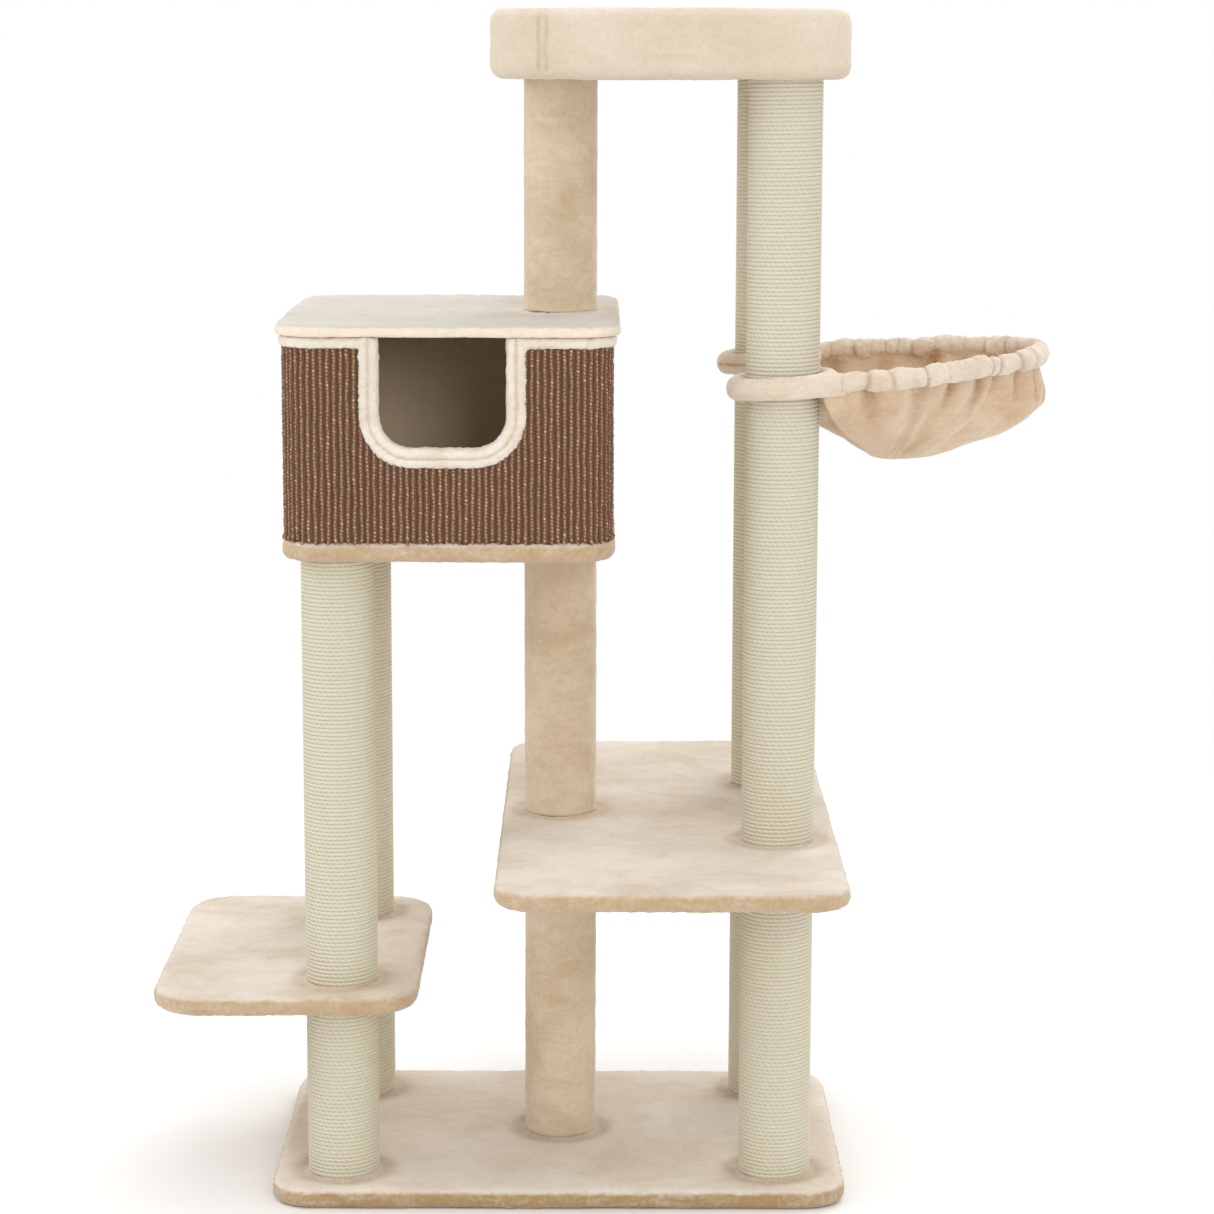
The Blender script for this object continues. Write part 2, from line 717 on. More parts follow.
def add_uv(obj, layer, per_loop):
    obj.data.uv_layers.new(name=layer)
    obj.data.uv_layers[layer].data.foreach_set("uv", np.asarray(per_loop, float).ravel())


def loop_arrays(mesh):
    """For each face corner: its vertex and its face."""
    corner_vertex = np.empty(len(mesh.loops), int)
    mesh.loops.foreach_get("vertex_index", corner_vertex)
    sides = np.empty(len(mesh.polygons), int)
    mesh.polygons.foreach_get("loop_total", sides)
    return corner_vertex, np.repeat(np.arange(len(sides)), sides)


def wind_uv(obj, centre, start, pitch, radius):
    """Unrolls a wound helix: u runs along the rope in metres, and v across it."""
    mesh = obj.data
    points = points_of(obj)
    middles = np.empty(len(mesh.polygons) * 3)
    mesh.polygons.foreach_get("center", middles)
    middles = middles.reshape(-1, 3)
    corner_vertex, corner_face = loop_arrays(mesh)
    turn = np.arctan2(points[:, 1] - centre.y, points[:, 0] - centre.x) / (2 * math.pi)
    face_turn = np.arctan2(middles[:, 1] - centre.y, middles[:, 0] - centre.x) / (2 * math.pi)
    near = face_turn[corner_face]
    unwrapped = near + (turn[corner_vertex] - near + 0.5) % 1 - 0.5
    row = np.floor((middles[:, 2] - start) / pitch - face_turn)[corner_face]
    across = (points[corner_vertex, 2] - start) / pitch - unwrapped - row
    along = (unwrapped + row) * 2 * math.pi * radius
    add_uv(obj, "rope", np.stack([along, across], axis=1))


def rope_post(node_name):
    low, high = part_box(node_name)
    centre, radius = axis_of(node_name)
    turns = round((high.z - low.z) / ROPE_PITCH)
    pitch = (high.z - low.z) / turns
    place_new()
    bpy.ops.mesh.primitive_circle_add(vertices=8, radius=pitch / 2, rotation=(math.pi / 2, 0, 0))
    rope = named(node_name.replace("post_", "rope_").replace("_rope", ""))
    choose(rope, "VERT", lambda point: point.x < -1e-5)
    bpy.ops.mesh.delete(type="VERT")
    bpy.ops.mesh.select_all(action="SELECT")
    bpy.ops.transform.resize(value=(ROPE_BULGE, 1, 1))
    bpy.ops.transform.translate(value=(radius - ROPE_BULGE * pitch / 2, 0, low.z - pitch))
    back_to_object()
    apply_modifier(
        rope, "SCREW", angle=2 * math.pi, screw_offset=pitch, iterations=turns + 2,
        steps=ROPE_STEPS, render_steps=ROPE_STEPS, axis="Z",
    )
    choose(rope, "VERT", lambda point: True)
    bpy.ops.mesh.remove_doubles(threshold=0.01 * MM)
    bpy.ops.mesh.bisect(plane_co=(0, 0, low.z), plane_no=(0, 0, 1), clear_inner=True, use_fill=True)
    bpy.ops.mesh.select_all(action="SELECT")
    bpy.ops.mesh.bisect(plane_co=(0, 0, high.z), plane_no=(0, 0, 1), clear_outer=True, use_fill=True)
    bpy.ops.mesh.select_all(action="SELECT")
    bpy.ops.mesh.normals_make_consistent(inside=False)
    bpy.ops.transform.translate(value=(centre.x, centre.y, 0))
    back_to_object()
    wind_uv(rope, centre, low.z - pitch / 2, pitch, radius)
    dressed(rope, "root", "sisal_rope", node_name)


for post in ROPE_POSTS:
    for part in ("lower", "upper"):
        rope_post(f"post_{post}_{part}_rope")

# %% [markdown]
# The centre post is a tube with plush glued round it. Its pile is short and lies tight, so the
# clouds that push it are weaker than on a foam board.

# %% Plush-covered posts
def plush_post(node_name):
    low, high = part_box(node_name)
    centre, radius = axis_of(node_name)
    place_new()
    bpy.ops.mesh.primitive_cylinder_add(
        vertices=96, radius=radius - 0.5 * MM, depth=high.z - low.z, location=centre
    )
    post = named(node_name.replace("_plush", "_pile"))
    choose(post, "EDGE", lambda a, b: abs(a.z - b.z) > 10 * MM)
    bpy.ops.mesh.subdivide(number_cuts=round((high.z - low.z) / PILE_VOXEL))
    back_to_object()
    push_clouds(post, (60, 1.0), (16, 1.2), (4.5, 1.0))
    dressed(post, "root", "sand_plush", node_name)


for part in ("lower", "middle", "upper"):
    plush_post(f"post_centre_{part}_plush")

# %% [markdown]
# ## Laying a straight piece along a route
#
# A rope, a trim or a bent board is easier to model straight. Each such piece is drawn along X, with its front
# towards -Y. Its points are then carried along a route: x becomes the way along it, and y and z
# stay the two directions across it. A route is a list of evenly spaced points with those two directions.

# %% Routes
def route_of(points, up, step=2 * MM):
    """Evenly spaced points along a line, with the two directions across it."""
    points = np.asarray(points, float)
    lengths = np.concatenate([[0], np.cumsum(np.linalg.norm(np.diff(points, axis=0), axis=1))])
    distance = np.linspace(0, lengths[-1], max(2, round(lengths[-1] / step)) + 1)
    middle = np.stack([np.interp(distance, lengths, points[:, k]) for k in range(3)], axis=1)
    ahead = np.gradient(middle, axis=0)
    if np.linalg.norm(middle[0] - middle[-1]) < 1e-6:
        ahead[0] = ahead[-1] = ahead[0] + ahead[-1]
    ahead /= np.linalg.norm(ahead, axis=1, keepdims=True)
    side = np.cross(np.broadcast_to(np.asarray(up, float), middle.shape), ahead)
    side /= np.linalg.norm(side, axis=1, keepdims=True)
    return {"distance": distance, "middle": middle, "side": side, "up": np.cross(ahead, side)}


def lay_along(obj, route):
    """Carries a straight piece along a route; past the end of a closed route it starts again."""
    given = points_of(obj)
    total = route["distance"][-1]
    along = np.where(given[:, 0] > total + 0.01 * MM, given[:, 0] - total, given[:, 0])

    def carried(name):
        return np.stack([np.interp(along, route["distance"], route[name][:, k]) for k in range(3)], axis=1)

    put_points(obj, carried("middle") + given[:, 1:2] * carried("side") + given[:, 2:3] * carried("up"))


def cut_along(obj, step):
    """Cuts a straight piece into short lengths, so that it can follow a bend."""
    while True:
        points = points_of(obj)
        longest = max(abs(points[a, 0] - points[b, 0]) for a, b in (edge.vertices for edge in obj.data.edges))
        if longest < 1.6 * step:
            return
        choose(obj, "EDGE", lambda a, b: abs(a.x - b.x) > 1.6 * step)
        bpy.ops.mesh.subdivide(number_cuts=min(60, round(longest / step)))
        back_to_object()


def straight_bar(name, length, low, high, rounding, step=4 * MM):
    """A bar along X with rounded long edges; low and high are its y and z."""
    bar = block(name, Vector((0, *low)), Vector((length, *high)))
    round_edges(bar, rounding, 4, lambda a, b: abs(a.x - b.x) > 0.5 * length)
    cut_along(bar, step)
    return bar


def flat_sheet(name, start, end, low, high, columns, rows):
    """A flat grid that faces the front: x is the way along, and z is the height."""
    place_new()
    bpy.ops.mesh.primitive_grid_add(
        x_subdivisions=columns, y_subdivisions=rows, size=1, rotation=(math.pi / 2, 0, 0),
        location=((start + end) / 2, 0, (low + high) / 2),
    )
    bpy.context.object.scale = (end - start, high - low, 1)
    return named(name)


# %% [markdown]
# ## House
#
# The house is one board bent round in a rounded rectangle, with a doorway cut in its front. Seen from
# above, its outline is four straight runs and four quarter circles. Everything that covers it, the
# carpet, the plush and the trim, follows the same outline.

# %% Outline of the house
HOUSE_CORNER = 55 * MM
DOOR_HALF_WIDTH = 94 * MM
DOOR_CORNER = 48 * MM
TRIM_WIDTH = 30 * MM
WALL_THICK = 14 * MM
CARPET_THICK = 5 * MM
CARPET_RETURN = 30 * MM

carpet_low, carpet_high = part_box("house_sisal_skin")
wall_low, wall_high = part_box("house_wall")
trim_low, trim_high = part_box("house_edge_trim")
DOOR_X = -239.75 * MM
SILL_Z = 1171 * MM


def outline_points(low, high, corner, inset, z):
    """A rounded rectangle seen from above, from the middle of its back anticlockwise to there again."""
    start = ((low.x + high.x) / 2, high.y - inset, z)
    points = [start]
    turns = (
        (low.x + corner, high.y - corner, 90), (low.x + corner, low.y + corner, 180),
        (high.x - corner, low.y + corner, 270), (high.x - corner, high.y - corner, 360),
    )
    for x, y, first in turns:
        for angle in np.radians(np.linspace(first, first + 90, 25)):
            reach = corner - inset
            points.append((x + reach * math.cos(angle), y + reach * math.sin(angle), z))
    return points + [start]


def house_route(inset):
    return route_of(outline_points(carpet_low, wall_high, HOUSE_CORNER, inset, 0.0), (0, 0, 1))


HOUSE_MIDDLE = (carpet_low.x + wall_high.x) / 2
FRONT_RUN = (wall_high.x - carpet_low.x) - 2 * HOUSE_CORNER
CARPET_HALF = FRONT_RUN / 2 + HOUSE_CORNER * math.pi / 2 + CARPET_RETURN


def in_doorway(x, z, margin):
    """True inside the doorway grown by a margin; its two lower corners are rounded."""
    across = abs(x - DOOR_X) - DOOR_HALF_WIDTH - margin
    if across > 0 or z < SILL_Z - margin:
        return False
    corner = DOOR_CORNER + margin
    dx = across + corner
    dz = SILL_Z - margin + corner - z
    return not (dx > 0 and dz > 0 and math.hypot(dx, dz) > corner)


def cut_doorway(sheet, route_length, margin):
    """Takes the doorway out of a flat sheet, where x is the way along the outline."""
    shift = HOUSE_MIDDLE - route_length / 2
    choose(sheet, "FACE", lambda middle, normal: in_doorway(middle.x + shift, middle.z, margin))
    bpy.ops.mesh.delete(type="FACE")
    back_to_object()


def thickened(obj, thickness):
    """Gives a sheet its thickness, behind its front."""
    apply_modifier(obj, "SOLIDIFY", thickness=thickness, offset=-1, use_even_offset=True)


# %% House panel
def house_panel():
    route = house_route(CARPET_THICK)
    length = route["distance"][-1]
    panel = flat_sheet("house_panel", 0, length, wall_low.z, wall_high.z, 400, 60)
    cut_doorway(panel, length, 12 * MM)
    lay_along(panel, route)
    merge_close(panel, 0.05 * MM)
    thickened(panel, WALL_THICK - CARPET_THICK)
    dressed(panel, "root", "lining", "house_wall")
    only(panel)
    bpy.ops.object.shade_smooth_by_angle(angle=math.radians(35))


house_panel()

# %% [markdown]
# The carpet on the front is woven of thick sisal: upright ribs, each a chain of small knots. It is a
# flat grid with four columns for each rib and two rows for each knot, pushed out by code, so that
# every knot is a real bump. Its lower edge is cut and frays a little.

# %% Sisal carpet
RIB_WIDTH = 9.7 * MM
KNOT = 5.4 * MM
RIB_HEIGHT = 3.4 * MM


def sisal_carpet_front():
    seed = np.random.default_rng(7)
    route = house_route(0.6 * MM)
    middle = route["distance"][-1] / 2
    ribs = round(2 * CARPET_HALF / RIB_WIDTH)
    rows = round((carpet_high.z - carpet_low.z) / KNOT) * 2
    start, end = middle - CARPET_HALF, middle + CARPET_HALF
    sheet = flat_sheet("house_carpet", start, end, carpet_low.z, carpet_high.z, ribs * 4, rows)
    points = points_of(sheet)
    u = (points[:, 0] - start) / (end - start) * ribs
    v = points[:, 2] - carpet_low.z
    step = (carpet_high.z - carpet_low.z) / rows
    rib = np.clip(np.floor(u + 0.01), 0, ribs - 1).astype(int)
    across = (u - rib) - 0.5
    corner_vertex, corner_face = loop_arrays(sheet.data)
    add_uv(sheet, "rib", np.stack([u, v / step], axis=1)[corner_vertex])
    arch = np.clip(1 - (2 * across) ** 2, 0, 1)
    knot = (np.round(v / step).astype(int) + rib) % 2
    fat = 0.85 + 0.3 * seed.random(ribs)[rib]
    uneven = seed.random(len(points))
    points[:, 1] = -RIB_HEIGHT * arch * (0.3 + 0.45 * knot + 0.6 * uneven) * fat
    points[:, 0] += 1.0 * MM * (seed.random(len(points)) - 0.5)
    points[:, 0] += np.array([1.7 * MM * noise.noise((r * 3.1, h * 28, 0)) for r, h in zip(rib, v)])
    points[:, 2] += 2.2 * MM * (seed.random(len(points)) - 0.5)
    column = np.round(u * 4).astype(int)
    fray = np.clip(1 - v / (4 * MM), 0, 1)
    points[:, 2] += fray * (seed.random(ribs * 4 + 1)[column] - 0.75) * 6 * MM
    points[:, 1] -= fray * seed.random(ribs * 4 + 1)[column] * 3 * MM
    put_points(sheet, points)
    cut_doorway(sheet, route["distance"][-1], 14 * MM)
    lay_along(sheet, route)
    thickened(sheet, CARPET_THICK - 1.2 * MM)
    dressed(sheet, "root", "sisal_carpet", "house_sisal_skin")


sisal_carpet_front()

# %% [markdown]
# The sides and the back are covered in plush, which begins where the carpet ends.

# %% Plush on the sides and back
def house_plush_sides():
    route = house_route(0.8 * MM)
    total = route["distance"][-1]
    start, end = total / 2 + CARPET_HALF + 1 * MM, 1.5 * total - CARPET_HALF - 1 * MM
    sheet = flat_sheet("house_side_plush", start, end, wall_low.z, wall_high.z, 380, 75)
    push_clouds(sheet, (40, 1.2), (9, 1.4))
    lay_along(sheet, route)
    thickened(sheet, CARPET_THICK - 1.4 * MM)
    dressed(sheet, "root", "even_plush", "house_wall")


house_plush_sides()

# %% [markdown]
# One long plush trim closes the wall's raw edge: a roll under the lid, from one side of the doorway
# round to the other, and a wider band down one side of the doorway, along its sill and up again. A
# seam runs along the middle of the band. Two bars are laid along the two routes, and a voxel remesh
# grows them into one soft piece. The seam is pressed in afterwards, because a remesh would close it.

# %% Trim
ROLL_HEIGHT = 16.5 * MM
SEAM_DEPTH = 2.6 * MM
SEAM_WIDTH = 2.2 * MM


def doorway_points(margin, top):
    """Down the left side of the doorway, along the sill and up the right side, seen from the front."""
    left, right = DOOR_X - DOOR_HALF_WIDTH - margin, DOOR_X + DOOR_HALF_WIDTH + margin
    corner = DOOR_CORNER + margin
    low = SILL_Z - margin
    points = [(left, trim_low.y, top)]
    for x, first in ((left + corner, 180), (right - corner, 270)):
        for angle in np.radians(np.linspace(first, first + 90, 19)):
            points.append((x + corner * math.cos(angle), trim_low.y, low + corner + corner * math.sin(angle)))
    return points + [(right, trim_low.y, top)]


def press_seam(obj, seam, inward, depth, width, shade=0.5):
    """Pushes a line of stitches into a padded surface, along the given direction."""
    points = points_of(obj)
    seam = np.asarray(seam)
    near = np.empty(len(points))
    for start in range(0, len(points), 4000):
        some = points[start:start + 4000]
        away = np.linalg.norm(some[:, None, :] - seam[None, :, :], axis=2).min(axis=1)
        near[start:start + 4000] = np.exp(-(away / width) ** 2)
    put_points(obj, points + near[:, None] * depth * np.asarray(inward))
    part_hairs(obj, shade * near)


def house_trim():
    band_depth = WALL_THICK + 2 * (carpet_low.y - trim_low.y)
    door_route = route_of(doorway_points(TRIM_WIDTH / 2, trim_high.z), (0, -1, 0))
    half = TRIM_WIDTH / 2
    band = straight_bar("door_band", door_route["distance"][-1], (-half, -band_depth), (half, 0), 9 * MM)
    lay_along(band, door_route)
    roll_route = house_route(0)
    total = roll_route["distance"][-1]
    door_at = total / 2 + DOOR_X - HOUSE_MIDDLE
    gap = DOOR_HALF_WIDTH + 8 * MM
    proud = trim_low.y - carpet_low.y
    roll = straight_bar(
        "roll", total - 2 * gap, (proud, trim_high.z - ROLL_HEIGHT), (band_depth + proud, trim_high.z), 6 * MM
    )
    shifted(roll, (door_at + gap, 0, 0))
    lay_along(roll, roll_route)
    trim = joined("house_trim", [band, roll])
    face_outwards(trim)
    remeshed(trim, 2.6 * MM, 4)
    push_clouds(trim, (22, 1.6))
    seam = []
    for x, y, z in door_route["middle"]:
        seam.append((x + 0.9 * MM * noise.noise((z * 60, x * 60, 1)), trim_low.y, z))
    press_seam(trim, seam, (0, 1, 0), SEAM_DEPTH, SEAM_WIDTH)
    push_clouds(trim, (8, 2.8), (3.4, 2.6))
    dressed(trim, "root", "trim_plush", "house_edge_trim")


house_trim()

# %% [markdown]
# ## Bed
#
# The bed on top is a padded rim round a loose cushion. The rim starts as a block with rounded
# uprights. Its top is inset by the rim's width and pushed down almost to the board, so that plush
# covers the board too. Then the level edges at its top and bottom are rounded. On the front, near
# the left corner, the cover's two ends meet in a seam.

# %% Bed rim
BED_CORNER = 75 * MM
BED_RIM_WIDTH = 60 * MM
BED_ROUND = 19 * MM
BED_SEAM_X = -97 * MM
BED_FLOOR = 3 * MM


def bed_rim():
    low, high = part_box("bed_rim")
    floor_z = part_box("bed_board")[1].z + BED_FLOOR
    rim = block("bed_rim_plush", low, high)
    round_uprights(rim, BED_CORNER, 14)
    choose(rim, "FACE", lambda middle, normal: normal.z > 0.9)
    bpy.ops.mesh.inset(thickness=BED_RIM_WIDTH)
    bpy.ops.mesh.extrude_region_move(TRANSFORM_OT_translate={"value": (0, 0, floor_z - high.z)})
    back_to_object()
    round_level(rim, high.z, BED_ROUND)
    round_level(rim, low.z, BED_ROUND)
    remeshed(rim, PILE_VOXEL, 6)
    push_clouds(rim, (160, 5), (45, 1.6))
    for shift, depth in ((0, 4 * MM), (10 * MM, 2.8 * MM)):
        seam = []
        for z in np.arange(low.z - 4 * MM, high.z + 6 * MM, 2 * MM):
            x = BED_SEAM_X + shift + 2.4 * MM * noise.noise((z * 34, shift * 900, 4))
            seam.append((x, low.y, z))
        for y in np.arange(0, 40 * MM, 3 * MM):
            seam.append((BED_SEAM_X + shift, low.y + y, high.z))
        press_seam(rim, seam, (0, 0.9, -0.15), depth, 2.6 * MM, 0.38)
    push_clouds(rim, (12, 1.8), (4.5, 2.2))
    dressed(rim, "root", "even_plush", "bed_rim")


bed_rim()

# %% [markdown]
# The cushion is a bag of plush with soft filling. The Cloth modifier blows up a slightly smaller pad
# by pressure, and no point may move further than a few millimetres. Then its middle is raised a
# little, and the seam round its edge is pressed in.

# %% Cushion
PUFF_FRAMES = 20
PUFF_MOST = 8 * MM
CUSHION_SHRINK = Vector((6 * MM, 6 * MM, 4 * MM))
CUSHION_CORNER = 22 * MM
CUSHION_ROUND = 12 * MM
CUSHION_CROWN = 7 * MM
CUSHION_SEAM = 2.5 * MM


def simulate_cloth(obj, frames, gravity=1.0, **settings):
    """Adds the Cloth modifier, runs it for some frames and applies it."""
    only(obj)
    cloth = obj.modifiers.new("Cloth", "CLOTH")
    for key, value in settings.items():
        setattr(cloth.settings, key, value)
    cloth.settings.effector_weights.gravity = gravity
    cloth.point_cache.frame_start = 1
    cloth.point_cache.frame_end = frames
    for at in range(1, frames + 1):
        scene.frame_set(at)
    bpy.ops.object.modifier_apply(modifier=cloth.name)
    scene.frame_set(1)


def puffed(obj):
    """Blows a pad up, then limits how far each point has moved."""
    apply_modifier(obj, "REMESH", mode="VOXEL", voxel_size=6 * MM)
    before = points_of(obj)
    simulate_cloth(obj, PUFF_FRAMES, 0, use_pressure=True, uniform_pressure_force=4, quality=5)
    moved = points_of(obj) - before
    far = np.linalg.norm(moved, axis=1, keepdims=True)
    put_points(obj, before + moved * np.minimum(1, PUFF_MOST / np.maximum(far, 1e-9)))


def bed_cushion():
    low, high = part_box("bed_cushion")
    pad = block("bed_cushion_plush", low + CUSHION_SHRINK, high - CUSHION_SHRINK)
    round_uprights(pad, CUSHION_CORNER)
    round_level(pad, high.z - CUSHION_SHRINK.z, CUSHION_ROUND)
    round_level(pad, low.z + CUSHION_SHRINK.z, CUSHION_ROUND)
    puffed(pad)
    apply_modifier(pad, "SUBSURF", levels=1, render_levels=1)
    points = points_of(pad)
    middle = (low + high) / 2
    across = np.abs(points[:, 0] - middle.x) / (high.x - middle.x)
    along = np.abs(points[:, 1] - middle.y) / (high.y - middle.y)
    crown = CUSHION_CROWN * (1 - across ** 2) * (1 - along ** 2)
    points[:, 2] += np.where(points[:, 2] > middle.z, crown, 0)
    side = (np.maximum(across, along) > 0.93) & (np.abs(points[:, 2] - middle.z) < 3 * MM)
    points[side, 0] -= CUSHION_SEAM * np.sign(points[side, 0] - middle.x) * (across[side] > 0.93)
    points[side, 1] -= CUSHION_SEAM * np.sign(points[side, 1] - middle.y) * (along[side] > 0.93)
    points[:, 0] = np.clip(points[:, 0], low.x, high.x)
    points[:, 1] = np.clip(points[:, 1], low.y, high.y)
    points[:, 2] = np.maximum(points[:, 2], low.z)
    put_points(pad, points)
    push_clouds(pad, (11, 1.2))
    dressed(pad, "cushion", "even_plush", "bed_cushion")


bed_cushion()

# %% [markdown]
# ## Hammock
#
# A steel wire runs round each right-hand post and out in a long half ellipse. Plush collars cover the
# rings. The rim of the sack is a casing that the wire is threaded through: its cloth is longer than the
# wire, so it gathers into soft bulges with creases between them. The whole hammock rises a little
# towards its free end, so every route below is drawn in that sloping plane.

# %% The wire's shape
HAMMOCK_RISE = 0.0785
WIRE_RADIUS = 4 * MM
RING_RADIUS = 71 * MM
RIM_STARTS_AT = 92 * MM
COLLAR_WIDE = 13.4 * MM
COLLAR_TALL = 17.2 * MM
RIM_RADIUS = 15.2 * MM
CASING_RADIUS = 9.5 * MM

wire_low, wire_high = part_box("hammock_wire")
front_post = axis_of("post_front_right_upper_rope")[0]
rear_post = axis_of("post_rear_right_upper_rope")[0]
HAMMOCK_X = front_post.x
HAMMOCK_Z = wire_low.z + WIRE_RADIUS + HAMMOCK_RISE * (RING_RADIUS + 1 * MM)
HAMMOCK_REACH = wire_high.x - WIRE_RADIUS - HAMMOCK_X
HAMMOCK_HALF = rear_post.y + RING_RADIUS
SLOPED_UP = Vector((-HAMMOCK_RISE, 0, 1)).normalized()


def hung(x, y, drop=0.0):
    """A place in the hammock's sloping plane; x starts at the line of the posts."""
    return (HAMMOCK_X + x, y, HAMMOCK_Z + HAMMOCK_RISE * x - drop)


def rim_points(first, last, count=200):
    """Part of the free half ellipse: 0 is in front and 1 behind."""
    turns = np.linspace(first, last, count) * math.pi
    return [hung(HAMMOCK_REACH * math.sin(t), -HAMMOCK_HALF * math.cos(t)) for t in turns]


RIM_TURN = math.asin(RIM_STARTS_AT / HAMMOCK_REACH) / math.pi
rim_route = route_of(rim_points(RIM_TURN * 0.86, 1 - RIM_TURN * 0.86), SLOPED_UP)
print("hammock rim, metres of wire:", round(rim_route["distance"][-1], 3))

# %% Gathered rim
def straight_tube(name, length, radius, sides=28, step=3 * MM):
    """A tube along X with closed ends, cut into short lengths."""
    place_new()
    bpy.ops.mesh.primitive_cylinder_add(
        vertices=sides, radius=radius, depth=length, location=(length / 2, 0, 0), rotation=(0, math.pi / 2, 0)
    )
    tube = named(name)
    cut_along(tube, step)
    return tube


def creases(seed, length, least, most):
    """Uneven places along a length where the cloth is drawn in."""
    at, places = 0.0, [0.0]
    while at < length - least:
        at += least + (most - least) * seed.random()
        places.append(at)
    return np.array(places)


def between(places, at):
    """For each point: which crease lies before it, and how far it is towards the next."""
    which = np.clip(np.searchsorted(places, at) - 1, 0, len(places) - 2)
    return which, np.clip((at - places[which]) / (places[which + 1] - places[which]), 0, 1)


def blended(values, which, share):
    """Blends the values of the two creases that each point lies between."""
    return values[which] * (1 - share) + values[which + 1] * share


def gather(tube, seed, least, most, depth):
    """Draws a straight tube in at its creases, more so towards its end, and lets it bulge between them."""
    points = points_of(tube)
    length = points[:, 0].max()
    places = creases(seed, length, least, most)
    turn = np.arctan2(points[:, 2], points[:, 1])
    radius = np.hypot(points[:, 1], points[:, 2])
    lean = np.interp(points[:, 0], places, 14 * MM * (seed.random(len(places)) - 0.5))
    swing = np.interp(points[:, 0], places, 6.28 * seed.random(len(places)))
    at = points[:, 0] + lean * np.sin(turn + swing)
    which, share = between(places, at)
    bulge = np.sin(math.pi * share).clip(0, 1) ** 0.5
    force = (0.1 + 1.2 * seed.random(len(places)) ** 1.8) * (0.6 + 0.8 * places / places[-1])
    strong = blended(force, which, share)
    full = (0.9 + 0.22 * seed.random(len(places)))[which]
    lump = np.array([noise.noise((p[0] * 38, p[1] * 50 + 3, p[2] * 50)) for p in points])
    new = radius * (full * bulge + (1 - depth * strong) * (1 - bulge) + 0.16 * lump)
    points[:, 1] = np.cos(turn) * new
    points[:, 2] = np.sin(turn) * new
    put_points(tube, points)
    part_hairs(tube, np.clip(strong, 0, 1) * np.clip(1 - 1.3 * bulge, 0, 1) * 0.8)


def hammock_rim():
    seed = np.random.default_rng(21)
    length = rim_route["distance"][-1]
    rim = straight_tube("hammock_rim", length, RIM_RADIUS * 1.04)
    gather(rim, seed, 14 * MM, 50 * MM, 0.36)
    points = points_of(rim)
    sway = np.array([(noise.noise((x * 19, 5, 0)), noise.noise((x * 14, 9, 0))) for x in points[:, 0]])
    points[:, 2] += 4.5 * MM * sway[:, 0]
    points[:, 1] += 3 * MM * sway[:, 1]
    put_points(rim, points)
    lay_along(rim, rim_route)
    apply_modifier(rim, "SUBSURF", levels=1, render_levels=1)
    push_clouds(rim, (10, 2.6), (4, 1.8))
    dressed(rim, "hammock", "rim_plush", "hammock_sack")
    return rim


rim = hammock_rim()

# %% [markdown]
# Each collar is a ring of plush-covered foam round its post, with an arm that follows the wire to the
# gathered rim. A torus and a bent tube grow into one piece by a voxel remesh. The arm's cover is drawn
# together where the rim begins. On the rear ring a seam runs from the arm round to the front.

# %% Collars
def collar(name, side, first, last, replaced):
    place_new()
    bpy.ops.mesh.primitive_torus_add(
        major_radius=RING_RADIUS, minor_radius=COLLAR_WIDE, major_segments=96, minor_segments=24
    )
    ring = named(name)
    points = points_of(ring)
    points[:, 2] *= COLLAR_TALL / COLLAR_WIDE
    points[:, 2] += HAMMOCK_RISE * points[:, 0]
    put_points(ring, points)
    shifted(ring, hung(0, side * front_post.y * -1))
    route = route_of(rim_points(first, last, 40), SLOPED_UP)
    arm = straight_tube("arm", route["distance"][-1], COLLAR_WIDE, sides=24)
    points = points_of(arm)
    points[:, 2] *= COLLAR_TALL / COLLAR_WIDE
    points[:, 1] *= 0.94
    put_points(arm, points)
    lay_along(arm, route)
    whole = joined(name, [ring, arm])
    face_outwards(whole)
    remeshed(whole, 2.4 * MM, 8)
    push_clouds(whole, (40, 1.5))
    if side > 0:
        outside = RING_RADIUS + COLLAR_WIDE
        turns = np.linspace(0.5, 1.6, 90) * math.pi
        seam = [hung(outside * math.cos(t), rear_post.y + outside * math.sin(t)) for t in turns]
        press_seam(whole, seam, (0.5, 0.3, 0), 1.6 * MM, 2.0 * MM, 0.8)
    push_clouds(whole, (12, 1.4), (4, 1.4))
    dressed(whole, "hammock", "rim_plush", replaced)


collar("hammock_front_collar_plush", -1, 0.0, RIM_TURN * 0.95, "hammock_collar_front")
collar("hammock_rear_collar_plush", 1, 1 - RIM_TURN * 0.95, 1.0, "hammock_collar_rear")

# %% [markdown]
# The sack is one piece of plush sewn to its casings. It is drawn as a bowl with even columns and
# rows. Its edge is pinned, and a few frames of the Cloth modifier let it settle under its own weight.
# The long folds under the rim and the fuller outer end are then shaped in code, because so short a
# simulation doesn't gather the cloth by itself.

# %% The sack's bowl
SACK_DEPTH = 121 * MM
SACK_LOWEST = 192.5 * MM
SACK_CLOTH = 3.6 * MM
SACK_COLUMNS = 264
SACK_ROWS = 40
SACK_BULGE = 7 * MM
FOLD_DEPTH = 31 * MM
END_BULGE = 46 * MM
FOLDS_END = 25 * MM
FREE_POINTS = 160
HANG_FRAMES = 14


